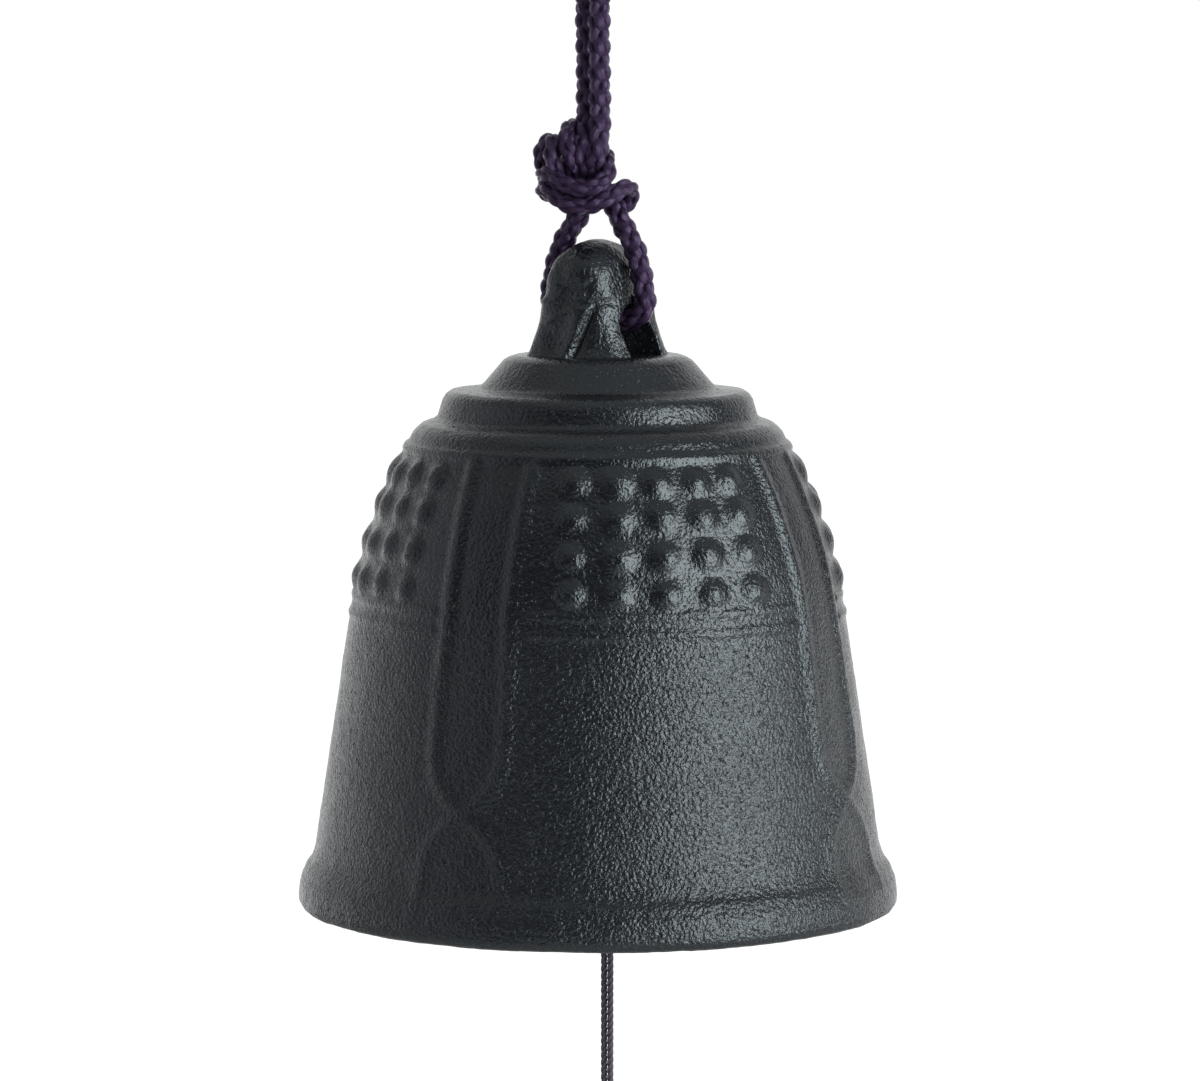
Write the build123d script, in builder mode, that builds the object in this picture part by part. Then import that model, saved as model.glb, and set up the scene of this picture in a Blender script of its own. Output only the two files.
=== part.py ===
# Cast iron furin wind bell on a braided cord, with its clapper and paper wind strip.
# Millimetres. +Z is up. The origin is the inside top of the hanging loop, where a hook holds it.
# Heights in this file are counted up from the plane of the bell's mouth, and HANG moves them
# under the hook. The handle's arch stands in the YZ plane, and its hole runs along X.
import os
from math import asin, cos, pi, radians, sin, tan

from build123d import *

HANG = -132.0           # height of the mouth's plane, seen from the hook

MOUTH_R = 35.5          # the lip, before its edge is rounded
LIP_INNER_R = 32.2
LIP_TOP = 6.6           # the lip's swelling runs into the wall here
WALL_BEND_R = 60.0      # the wall is straight low down and bends in above this arc's start
SHOULDER_Z = 54.3
DOME_TOP = 65.2         # where the handle stands
CROWN_INSIDE = 57.8

# Pattern cast on the wall: four bands of crossed ribs, and between them fields of bosses
BANDS = 4
BAND_TURN = -0.2        # degrees from the handle's front, -Y, to the first band's middle
RIB_HEIGHT = 0.6
RIB_W = 1.7
# A band's right-hand rib, as (to the right of the band's middle, height); the left one mirrors it
RIB_RUN = [(3.9, 53.6), (4.0, 37.0), (4.6, 20.0), (3.8, 17.6), (-4.2, 12.0), (-5.2, 9.4), (-5.3, 4.9)]
BOSS_ROWS = [51.8, 48.1, 43.8, 39.5]
BOSS_COLUMNS = 5
BOSS_TURN = 11.5        # degrees from one boss to the next in its row
BOSS_FIELD_TURN = -1.0  # the fields sit a little off the middle between two bands
BOSS_R = 2.0
BOSS_SIDES = 10         # a low dome drawn with few faces
BOSS_TAPER = 46.0       # degrees
BOSS_HEIGHT = 1.05
BOSS_ROOT = 0.4         # how deep a boss reaches into the wall
LINES = [(28.75, 37.2), (29.1, 35.1)]     # the two lines under each field, on the wall
LINE_HEIGHT = 0.35
LINE_W = 0.9
LINE_ARC = 68.0         # degrees of each field that its two lines run round

HANDLE_TOP = 78.6
HANDLE_FOOT = 63.4
HANDLE_HALF_LENGTH = 6.7      # along Y, at the dome
HANDLE_HALF_WIDTH = 6.3       # along X, at the dome
HANDLE_HOLE_R = 3.3
HANDLE_HOLE_TOP = 71.2
HANDLE_CORNER_R = 2.8         # the arch is cast nearly round
HANDLE_HOLE_EDGE_R = 1.2      # where the cord turns

CORD_D = 2.8            # braided hanging cord
STRAND_PITCH = 2.9      # between the two strands that hang side by side
STRAND_SIDE = (0.838, -0.546)   # direction from the back strand to the front one
BIGHT_Z = 69.5          # centreline of the cord where it passes through the handle
BIGHT_TURN_R = 2.85     # the cord turns round the handle's rounded edge
KNOT_BOTTOM = 81.4
KNOT_TOP = 93.2
KNOT_X, KNOT_Y = -1.2, -0.6     # the knot sits a little to one side of the axis
HOOK_BEND_R = 4.4       # the loop's bend, round a hook 6 mm thick
LOOP_LEAN = 8.0         # degrees that the loop's legs lean towards the hook

THREAD_D = 0.8          # each strand of the doubled clapper cord
THREAD_HALF_PITCH = 0.42
HANG_X, HANG_Y = 1.0, 0.5       # the staple is cast in a little off the middle
STAPLE_WIRE_D = 1.8
STAPLE_BEND_R = 3.5
STAPLE_EYE_Z = 50.4     # centre of the wire at the bottom of the eye
STAPLE_TOP = 60.5
THREAD_BEND_R = 1.5     # the thread goes round the staple's wire

CLAPPER_R = 13.0
CLAPPER_T = 3.0
CLAPPER_Z = 17.6        # underside of the disc
CLAPPER_HOLE_R = 1.3
STOP_KNOT_R = 1.5
STOP_KNOT_Z = 15.8

STRIP_W = 52.0
STRIP_H = 134.0
STRIP_T = 0.5
STRIP_TOP = -36.0
STRIP_HOLE_R = 1.75
STRIP_HOLE_DROP = 6.0
STRIP_KNOT_Z = -32.2
JOINT_GAP = 0.3         # between a thread and the knot that it turns against


def hung(points):
    """Points counted from the mouth's plane, moved under the hook."""
    return [(x, y, z + HANG) for x, y, z in points]


def plane_xz(x=0.0, y=0.0):
    """A sketch plane with X across and the height above the mouth up."""
    return Plane(origin=(x, y, HANG), x_dir=(1, 0, 0), z_dir=(0, -1, 0))


def plane_yz(x=0.0, y=0.0):
    """A sketch plane with Y across and the height above the mouth up."""
    return Plane(origin=(x, y, HANG), x_dir=(0, 1, 0), z_dir=(1, 0, 0))


def plane_at(turn):
    """An upright sketch plane through the axis, which faces outwards at that turn from -Y to +X."""
    across = (cos(radians(turn)), sin(radians(turn)), 0)
    outwards = (sin(radians(turn)), -cos(radians(turn)), 0)
    return Plane(origin=(0, 0, HANG), x_dir=across, z_dir=outwards)


def section_at(turn):
    """An upright half plane that ends at the axis, with X outwards at that turn from -Y to +X."""
    outwards = (sin(radians(turn)), -cos(radians(turn)), 0)
    back = (-cos(radians(turn)), -sin(radians(turn)), 0)
    return Plane(origin=(0, 0, HANG), x_dir=outwards, z_dir=back)


def slack_radii(points):
    """One radius for each corner: 0.45 of the shorter run, over the tangent of half the turn."""
    spots = [Vector(*p) for p in points]
    radii = []
    for before, corner, after in zip(spots, spots[1:], spots[2:]):
        run_in, run_out = corner - before, after - corner
        turn = radians(run_in.get_angle(run_out))
        radii.append(0.45 * min(run_in.length, run_out.length) / tan(turn / 2))
    return radii


def bend_corners(centre_z, radius, lean):
    """The three corners of a bend over a bar, as (distance to one side, height)."""
    half_turn = radians((180 + 2 * lean) / 6)
    reach = radius / cos(half_turn)
    angles = [half_turn * k - radians(lean) for k in (1, 3, 5)]
    return [(reach * cos(a), centre_z + reach * sin(a)) for a in angles]


def cord_along(name, points, radii, diameter):
    """A round cord swept along straight runs that tangent arcs join."""
    with BuildPart() as stretch:
        with BuildLine() as route:
            FilletPolyline(*hung(points), radius=radii)
        path = route.wire()
        with BuildSketch(Plane(origin=path @ 0, z_dir=path % 0)):
            Circle(diameter / 2)
        sweep(path=path)
    length = path.length
    share = stretch.part.volume / (pi * diameter**2 / 4 * length)
    print(name, "length", round(length, 1), "volume share", round(share, 3))
    print("  radii", [round(r, 1) for r in radii])
    stretch.part.label = name
    return stretch.part


os.makedirs("parts", exist_ok=True)

# Handle: an arch seen along X, narrowed to its side outline seen along Y
with BuildPart() as handle:
    with BuildSketch(plane_yz()):
        with BuildLine():
            arch = FilletPolyline(
                (-HANDLE_HALF_LENGTH, HANDLE_FOOT), (-6.2, 71.5), (-4.5, HANDLE_TOP),
                (4.5, HANDLE_TOP), (6.2, 71.5), (HANDLE_HALF_LENGTH, HANDLE_FOOT),
                radius=[20, 4.6, 4.6, 20],
            )
            Line(arch @ 1, arch @ 0)
        make_face()
    extrude(amount=2 * HANDLE_HALF_WIDTH, both=True)
    with BuildSketch(plane_xz()):
        with BuildLine():
            side = FilletPolyline(
                (-HANDLE_HALF_WIDTH, HANDLE_FOOT), (-4.3, 70.6), (-3.0, HANDLE_TOP + 0.2),
                (3.0, HANDLE_TOP + 0.2), (4.3, 70.6), (HANDLE_HALF_WIDTH, HANDLE_FOOT),
                radius=[20, 2.6, 2.6, 20],
            )
            Line(side @ 1, side @ 0)
        make_face()
    extrude(amount=2 * HANDLE_HALF_LENGTH, both=True, mode=Mode.INTERSECT)
    with BuildSketch(plane_yz()):
        hole_z = HANDLE_HOLE_TOP - HANDLE_HOLE_R
        with Locations((0, hole_z)):
            Circle(HANDLE_HOLE_R)
        with Locations((0, (hole_z + HANDLE_FOOT) / 2)):
            Rectangle(2 * HANDLE_HOLE_R, hole_z - HANDLE_FOOT)
    extrude(amount=2 * HANDLE_HALF_WIDTH, both=True, mode=Mode.SUBTRACT)
    # Rounded edges: the outside of the arch, then the edge of the hole, where the cord turns
    above_foot = handle.edges().filter_by(lambda e: e.center().Z > HANG + HANDLE_FOOT + 0.5)
    corner_edges = above_foot.filter_by(lambda e: abs(e.center().Y) > HANDLE_HOLE_R + 1)
    fillet(corner_edges, HANDLE_CORNER_R)
    hole_edges = handle.edges().filter_by(
        lambda e: abs(e.center().Y) < HANDLE_HOLE_R + 0.1 and HANG + HANDLE_FOOT + 0.5 < e.center().Z
        and e.center().Z < HANG + HANDLE_HOLE_TOP and abs(e.center().X) > 3
    )
    fillet(hole_edges, HANDLE_HOLE_EDGE_R)

# Wall pattern: both ribs of each band are cut out of a thin layer that follows the wall
with BuildPart() as pattern:
    with BuildSketch(plane_xz()):
        with BuildLine():
            crest = FilletPolyline(
                (35.1, 4.6), (33.4 + RIB_HEIGHT, LIP_TOP), (27.7 + RIB_HEIGHT, 44.4),
                (22.6 + RIB_HEIGHT, SHOULDER_Z), radius=[3.0, WALL_BEND_R],
            )
            Polyline(crest @ 1, (21.6, 53.5), (26.7, 44.0), (32.4, 4.6), crest @ 0)
        make_face()
    revolve(axis=Axis.Z)
    with BuildPart(mode=Mode.INTERSECT):
        for band in range(BANDS):
            with BuildSketch(plane_at(BAND_TURN + 360 / BANDS * band)):
                for side in (1, -1):
                    with BuildLine():
                        Polyline(*[(side * across, height) for across, height in RIB_RUN])
                    trace(line_width=RIB_W)
            extrude(amount=2 * MOUTH_R)
    # The two low lines under each field of bosses
    for field in range(BANDS):
        middle = BAND_TURN + 360 / BANDS * (field + 0.5)
        with BuildSketch(section_at(middle - LINE_ARC / 2)):
            with Locations(*LINES):
                Rectangle(2 * LINE_HEIGHT, LINE_W)
        revolve(axis=Axis.Z, revolution_arc=LINE_ARC)

# Bell casting: shell, lip, shoulder steps and dome are one turned profile
with BuildPart() as bell_casting:
    with BuildSketch(plane_xz()):
        with BuildLine():
            outside = FilletPolyline(
                (LIP_INNER_R, 0), (MOUTH_R, 0), (35.1, 3.6), (33.4, LIP_TOP), (27.7, 44.4),
                (22.6, SHOULDER_Z), (21.6, 56.3), (20.7, 57.1), (18.9, 57.7), (18.1, 60.3),
                (17.4, 60.9), (13.8, 61.3), (10.9, 64.7), (9.9, DOME_TOP - 0.1), (0, DOME_TOP),
                radius=[1.2, 2.5, 3.0, WALL_BEND_R, 0, 0, 0, 0, 0, 0, 0, 0, 0],
            )
            hollow = FilletPolyline(
                outside @ 1, (0, CROWN_INSIDE), (14.5, 56.4), (26.1, 37.0), outside @ 0,
                radius=[0, 8.0, 40.0],
            )
        make_face()
    revolve(axis=Axis.Z)
    add(handle.part)
    add(pattern.part)

    # Bosses: low domes square to the wall, whose bend is the arc of the turned profile
    bend = outside.edges().filter_by(GeomType.CIRCLE).sort_by(SortBy.RADIUS)[-1]
    boss_places = []
    for field in range(BANDS):
        field_turn = 360 / BANDS * (field + 0.5) + BOSS_FIELD_TURN
        for column in range(BOSS_COLUMNS):
            turn = radians(field_turn + BOSS_TURN * (column - (BOSS_COLUMNS - 1) / 2))
            for row in BOSS_ROWS:
                lean = asin((row - bend.arc_center.Y) / bend.radius)
                spot = bend.arc_center + Vector(cos(lean), sin(lean)) * (bend.radius - BOSS_ROOT)
                boss_places.append(Plane(
                    origin=(spot.X * sin(turn), -spot.X * cos(turn), HANG + spot.Y),
                    x_dir=(cos(turn), sin(turn), 0),
                    z_dir=(cos(lean) * sin(turn), -cos(lean) * cos(turn), sin(lean)),
                ))
    with BuildSketch(*boss_places):
        RegularPolygon(BOSS_R + BOSS_ROOT * tan(radians(BOSS_TAPER)), BOSS_SIDES)
    extrude(amount=BOSS_ROOT + BOSS_HEIGHT, taper=BOSS_TAPER)

    # The staple's two legs are cast into the crown
    with BuildSketch(Plane.XY.offset(HANG + STAPLE_EYE_Z)):
        with Locations((HANG_X, HANG_Y - STAPLE_BEND_R), (HANG_X, HANG_Y + STAPLE_BEND_R)):
            Circle(STAPLE_WIRE_D / 2)
    extrude(amount=STAPLE_TOP - STAPLE_EYE_Z, mode=Mode.SUBTRACT)
bell_casting.part.label = "bell_casting"
export_step(bell_casting.part, "parts/bell_casting.step")

# Clapper staple: a bent iron wire whose eye hangs under the crown
with BuildPart() as clapper_staple:
    bend_z = HANG + STAPLE_EYE_Z + STAPLE_BEND_R
    back, front = HANG_Y + STAPLE_BEND_R, HANG_Y - STAPLE_BEND_R
    with BuildLine() as wire:
        leg = Line((HANG_X, back, HANG + STAPLE_TOP), (HANG_X, back, bend_z))
        eye = ThreePointArc(leg @ 1, (HANG_X, HANG_Y, HANG + STAPLE_EYE_Z), (HANG_X, front, bend_z))
        Line(eye @ 1, (HANG_X, front, HANG + STAPLE_TOP))
    with BuildSketch(Plane(origin=wire.line @ 0, z_dir=wire.line % 0)):
        Circle(STAPLE_WIRE_D / 2)
    sweep(path=wire.line)
clapper_staple.part.label = "clapper_staple"
export_step(clapper_staple.part, "parts/clapper_staple.step")

# Hanging cord: the stretch that goes down from the knot, through the handle and back up
bight_half = [(4.35, BIGHT_Z), (6.2, 71.8), (5.4, 77.2), (2.3, KNOT_BOTTOM + 0.5)]
right_leg = [(x, 0, z) for x, z in reversed(bight_half)]
left_leg = [(-x, 0, z) for x, z in bight_half]
handle_route = right_leg + left_leg
handle_radii = slack_radii(handle_route)
for corner in (1, 2, 3, 4):
    handle_radii[corner] = BIGHT_TURN_R
handle_cord = cord_along("handle_cord", handle_route, handle_radii, CORD_D)
export_step(handle_cord, "parts/handle_cord.step")

# Hanging cord: the two strands above the knot, and the loop that goes over the hook
bend_z = -HANG + CORD_D / 2 - HOOK_BEND_R
loop_bend = bend_corners(bend_z, HOOK_BEND_R, LOOP_LEAN)
along_x, along_y = STRAND_SIDE
strand = STRAND_PITCH / 2
loop_route = [
    (-0.40 + strand * along_x, -0.21 + strand * along_y, KNOT_TOP - 0.5),
    (-0.57 + strand * along_x, -0.30 + strand * along_y, 108.0),
]
loop_route += [(side * along_x, side * along_y, z) for side, z in loop_bend]
loop_route += [
    (-0.57 - strand * along_x, -0.30 - strand * along_y, 108.0),
    (-0.40 - strand * along_x, -0.21 - strand * along_y, KNOT_TOP - 0.5),
]
loop_radii = slack_radii(loop_route)
for corner in (1, 2, 3):
    loop_radii[corner] = 0.97 * HOOK_BEND_R
hanging_loop = cord_along("hanging_loop", loop_route, loop_radii, CORD_D)
export_step(hanging_loop, "parts/hanging_loop.step")

# Hanging cord: the outer shape of the knot, a lump with the last wrap slanting round it
with BuildPart() as cord_knot:
    with BuildSketch(plane_xz(KNOT_X, KNOT_Y)):
        with BuildLine():
            edge = FilletPolyline(
                (2.4, KNOT_TOP), (5.3, 90.5), (5.3, 83.2), (2.6, KNOT_BOTTOM), radius=[3.0, 3.5]
            )
            Polyline(edge @ 1, (0, KNOT_BOTTOM), (0, KNOT_TOP), edge @ 0)
        make_face()
    revolve(axis=Axis((KNOT_X, KNOT_Y, 0), (0, 0, 1)))
    with BuildSketch(Plane(origin=(KNOT_X, KNOT_Y, HANG + 85.2), x_dir=(1, 0, -0.25), z_dir=(0.24, 0, 1))):
        Circle(6.3)
    extrude(amount=1.3, both=True)
cord_knot.part.label = "cord_knot"
export_step(cord_knot.part, "parts/cord_knot.step")

# Clapper cord: a thread doubled over the staple's wire, down through the clapper to its knot
thread_bend = bend_corners(STAPLE_EYE_Z, THREAD_BEND_R, 9.6)
thread_foot = STOP_KNOT_Z + STOP_KNOT_R - 0.2
thread_side = [(THREAD_HALF_PITCH, thread_foot), (THREAD_HALF_PITCH, 44.0)]
thread_sides = thread_side + thread_bend + [(-side, z) for side, z in reversed(thread_side)]
clapper_route = [(HANG_X + side, HANG_Y, z) for side, z in thread_sides]
clapper_radii = slack_radii(clapper_route)
for corner in (1, 2, 3):
    clapper_radii[corner] = 0.97 * THREAD_BEND_R
clapper_cord = cord_along("clapper_cord", clapper_route, clapper_radii, THREAD_D)
export_step(clapper_cord, "parts/clapper_cord.step")


def ball_knot(name, centre_z, radius):
    """The outer shape of a small knot in the doubled thread."""
    with BuildPart(Plane((HANG_X, HANG_Y, HANG + centre_z))) as knot:
        Sphere(radius)
    knot.part.label = name
    export_step(knot.part, f"parts/{name}.step")


# Stop knot: the clapper rests on it
ball_knot("stop_knot", STOP_KNOT_Z, STOP_KNOT_R)

# Clapper: a cast iron disc, a little dished, with its rim and hole rounded
with BuildPart() as clapper:
    with BuildSketch(plane_xz(HANG_X, HANG_Y)):
        with BuildLine():
            Polyline(
                (CLAPPER_HOLE_R, CLAPPER_Z), (CLAPPER_R - 1.0, CLAPPER_Z), (CLAPPER_R, CLAPPER_Z + 1.0),
                (CLAPPER_R, CLAPPER_Z + CLAPPER_T - 1.0), (CLAPPER_R - 1.0, CLAPPER_Z + CLAPPER_T),
                (9.0, CLAPPER_Z + CLAPPER_T), (7.0, CLAPPER_Z + 2.2), (4.5, CLAPPER_Z + 2.2),
                (3.5, CLAPPER_Z + CLAPPER_T), (CLAPPER_HOLE_R, CLAPPER_Z + CLAPPER_T), close=True,
            )
        make_face()
    revolve(axis=Axis((HANG_X, HANG_Y, 0), (0, 0, 1)))
clapper.part.label = "clapper"
export_step(clapper.part, "parts/clapper.step")

# Clapper cord below the stop knot: the doubled thread that leaves the mouth
with BuildPart() as strip_cord:
    top = STOP_KNOT_Z - STOP_KNOT_R - JOINT_GAP
    with BuildSketch(Plane.XY.offset(HANG + top)):
        with Locations((HANG_X - THREAD_HALF_PITCH, HANG_Y), (HANG_X + THREAD_HALF_PITCH, HANG_Y)):
            Circle(THREAD_D / 2)
    extrude(amount=-(top - STRIP_KNOT_Z - STOP_KNOT_R - JOINT_GAP))
strip_cord.part.label = "strip_cord"
export_step(strip_cord.part, "parts/strip_cord.step")

# Knot above the wind strip, and the loop of thread that goes through the strip's hole
ball_knot("strip_knot", STRIP_KNOT_Z, STOP_KNOT_R)
hole_z = STRIP_TOP - STRIP_HOLE_DROP
thread_z = hole_z + STRIP_HOLE_R - THREAD_D / 2
strip_side = [(0.45, STRIP_KNOT_Z - STOP_KNOT_R + 0.2), (0.9, STRIP_TOP + 0.5), (0.9, thread_z)]
strip_sides = strip_side + [(-side, z) for side, z in reversed(strip_side)]
strip_loop_route = [(HANG_X, HANG_Y + side, z) for side, z in strip_sides]
strip_loop_radii = slack_radii(strip_loop_route)
strip_loop = cord_along("strip_loop", strip_loop_route, strip_loop_radii, THREAD_D)
export_step(strip_loop, "parts/strip_loop.step")

# Wind strip: a plain strip of stiff paper with one punched hole
with BuildPart() as wind_strip:
    with BuildSketch(plane_xz(HANG_X, HANG_Y)):
        with Locations((0, STRIP_TOP - STRIP_H / 2)):
            Rectangle(STRIP_W, STRIP_H)
        with Locations((0, hole_z)):
            Circle(STRIP_HOLE_R, mode=Mode.SUBTRACT)
    extrude(amount=STRIP_T / 2, both=True)
wind_strip.part.label = "wind_strip"
export_step(wind_strip.part, "parts/wind_strip.step")
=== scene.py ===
# Cast iron wind bell on a braided cord, with its clapper and paper wind strip.
# Metres. Sizes written in millimetres are turned into metres by MM. Heights are counted up from
# the mouth of the bell, and HANG moves them under the hook.
from math import ceil, cos, pi, radians, sin, tan

import bpy
import numpy as np
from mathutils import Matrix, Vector


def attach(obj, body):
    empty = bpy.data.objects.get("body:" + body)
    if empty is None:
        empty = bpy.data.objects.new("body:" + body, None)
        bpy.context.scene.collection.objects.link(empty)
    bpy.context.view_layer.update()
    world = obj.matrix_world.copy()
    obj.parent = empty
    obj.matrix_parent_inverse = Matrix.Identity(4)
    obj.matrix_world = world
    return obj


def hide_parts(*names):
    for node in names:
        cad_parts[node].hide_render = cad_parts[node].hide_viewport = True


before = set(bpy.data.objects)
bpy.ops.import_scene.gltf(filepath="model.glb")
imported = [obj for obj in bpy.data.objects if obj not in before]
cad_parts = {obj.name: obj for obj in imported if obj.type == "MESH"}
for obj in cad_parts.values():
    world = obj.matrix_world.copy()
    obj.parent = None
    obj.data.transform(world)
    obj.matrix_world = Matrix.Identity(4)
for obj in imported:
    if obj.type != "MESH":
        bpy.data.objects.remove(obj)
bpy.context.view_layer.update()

bpy.ops.object.select_all(action="DESELECT")

MM = 0.001
HANG = -132.0           # millimetres: height of the mouth's plane, seen from the hook

# Camera: the photograph's viewpoint
PHOTO_WIDTH = 1200
FOCAL_PIXELS = 5400
SENSOR = 36
CAMERA_TURN = 27.7      # degrees, from the front of the handle towards its right side
CAMERA_TRIM = 0.024     # degrees that the camera looks past the bell's axis
CAMERA_PITCH = 5.45     # degrees down
CAMERA_REACH = 632.0    # millimetres from the bell's axis
CAMERA_RISE = 103.5     # and above the mouth's plane

ROUTE_FINENESS = 40     # steps between two control points of a route
ARC_POINTS = 25         # points on a half circle
ROUND_STEP = 0.3        # between two points on a rounded corner
DOUBLES = 0.00002       # metres: vertices nearer than this are merged

# Braided cord
CORD_D = 2.8
CARRIERS = 4            # bundles of filament each way
BRAID_LEAD = 11.9
BUNDLE_WIDTH = 1.22
BUNDLE_THICKNESS = 0.95
BUNDLE_WEAVE = 0.27     # how far a bundle rises and dips as it goes over and under
BUNDLE_LINGER = 0.6     # a bundle runs nearly straight along the cord while it is on top
BUNDLE_SIDES = 8
BRAID_STEP = 0.25
KNOT_GIRTH = 0.82       # the cord is pulled thinner inside the knot
KNOT_TAPER = 3.0        # length at each end of a strand over which it gets thinner

# Clapper cord: two threads of three plies
THREAD_D = 0.8
PLIES = 3
PLY_D = 0.43
PLY_PITCH = 2.6
PLY_SIDES = 6
THREAD_STEP = 0.2
THREAD_SIDE = 0.42      # half the way between the two threads
CORD_X, CORD_Y = 1.0, 0.5

# Bell wall, as part.py has it, with the softer edges of a sand casting
LIP_INNER_R = 32.2
DOME_TOP = 65.2
WALL_CORNERS = [
    (0, DOME_TOP), (9.9, DOME_TOP - 0.1), (10.9, 64.7), (13.8, 61.3), (17.4, 60.9), (18.1, 60.3),
    (18.9, 57.7), (20.7, 57.1), (21.6, 56.3), (22.6, 54.3), (27.7, 44.4), (33.4, 6.6),
    (35.1, 3.6), (35.5, 0), (LIP_INNER_R, 0),
]
WALL_RADII = [1.5, 1.6, 1.0, 0.6, 0.9, 0.7, 0.9, 1.2, 0.9, 60.0, 6.0, 2.6, 1.3]
HOLLOW_CORNERS = [(LIP_INNER_R, 0), (26.1, 37.0), (14.5, 56.4), (0, 57.8)]
HOLLOW_RADII = [40.0, 8.0]
OUTSIDE_STEP, HOLLOW_STEP = 0.7, 3.2
# (radius, height) along the middle of the wall's thickness, from the lip to the crown
WALL_MIDDLE = [(33.8, 0), (32.0, 6.6), (27.6, 37.0), (20.5, 52.0), (17.0, 56.4), (0.0, 57.8)]


def toward(azimuth, elevation=0.0):
    """The direction at an azimuth counted from the handle's front, -Y, towards +X, in degrees."""
    turn, rise = radians(azimuth), radians(elevation)
    return Vector((sin(turn) * cos(rise), -cos(turn) * cos(rise), sin(rise)))


def placed(points):
    """Points in millimetres above the mouth, as metres in the frame."""
    spots = np.array(points, float)
    spots[:, 2] += HANG
    return spots * MM


def seen(points):
    """Points given as (right of the axis, height, towards the camera), as the camera sees them."""
    front, right = toward(CAMERA_TURN), toward(CAMERA_TURN + 90)
    return [(right.x * r + front.x * n, right.y * r + front.y * n, z) for r, z, n in points]


def place_camera():
    """The photograph's camera."""
    spot = toward(CAMERA_TURN) * CAMERA_REACH + Vector((0, 0, HANG + CAMERA_RISE))
    turn = (radians(90 - CAMERA_PITCH), 0, radians(CAMERA_TURN - CAMERA_TRIM))
    bpy.ops.object.camera_add(location=spot * MM, rotation=turn)
    camera = bpy.context.object
    camera.data.sensor_width = SENSOR
    camera.data.lens = SENSOR * FOCAL_PIXELS / PHOTO_WIDTH
    bpy.context.scene.camera = camera


def unit(rows):
    """Each row as a direction of length 1."""
    return rows / np.linalg.norm(rows, axis=-1, keepdims=True)


def soft_step(value, low, high):
    """0 below low, 1 above high and smooth between."""
    t = np.clip((value - low) / (high - low), 0, 1)
    return t * t * (3 - 2 * t)


def near(off, core, edge):
    """1 within core of a spot or line that is off away, 0 beyond edge, and smooth between."""
    return 1 - soft_step(off, core, edge)


def distances(line):
    """How far along a line each of its points is."""
    return np.concatenate([[0], np.cumsum(np.linalg.norm(np.diff(line, axis=0), axis=1))])


def evenly(line, count):
    """The same line with a number of points at even distances."""
    run = distances(line)
    even = np.linspace(0, run[-1], count)
    return np.stack([np.interp(even, run, part) for part in line.T], axis=1)


def travelled(line):
    """How far along an evenly stepped line in metres each of its points is, in millimetres."""
    return np.arange(len(line)) * np.linalg.norm(line[1] - line[0]) / MM


def rows_of(items, name):
    """A value of three numbers, such as a place or a normal, of each vertex or face."""
    flat = np.zeros(len(items) * 3)
    items.foreach_get(name, flat)
    return flat.reshape(-1, 3)


def edit(piece):
    """Edit mode on one piece alone."""
    bpy.ops.object.select_all(action="DESELECT")
    piece.select_set(True)
    bpy.context.view_layer.objects.active = piece
    bpy.ops.object.mode_set(mode="EDIT")


def smooth_line(name, points, step):
    """Even steps along the smooth line whose control points are the route's."""
    curve = bpy.data.curves.new(name, "CURVE")
    curve.dimensions = "3D"
    curve.resolution_u = ROUTE_FINENESS
    spline = curve.splines.new("NURBS")
    spline.points.add(len(points) - 1)
    for control, spot in zip(spline.points, placed(points)):
        control.co = (*spot, 1)
    spline.order_u = 3
    spline.use_endpoint_u = True
    holder = bpy.data.objects.new(name, curve)
    bpy.context.scene.collection.objects.link(holder)
    mesh = bpy.data.meshes.new_from_object(holder)
    line = np.array([v.co for v in mesh.vertices])
    bpy.data.objects.remove(holder)
    bpy.data.meshes.remove(mesh)
    return evenly(line, max(2, round(distances(line)[-1] / (step * MM)) + 1))


def carried_sides(line):
    """Two directions square to the line at each of its points, carried along without twisting."""
    ahead = unit(np.gradient(line, axis=0))
    first = np.empty_like(line)
    first[0] = unit(np.cross(ahead[0], (0.3, 1.0, 0.1)))
    for k in range(1, len(line)):
        kept = first[k - 1] - ahead[k] * np.dot(first[k - 1], ahead[k])
        first[k] = kept / np.linalg.norm(kept)
    return first, np.cross(ahead, first)


def pointing(turn, first, second):
    """Directions at a turn round a line, counted from the first side towards the second."""
    return np.cos(turn)[:, None] * first + np.sin(turn)[:, None] * second


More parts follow.
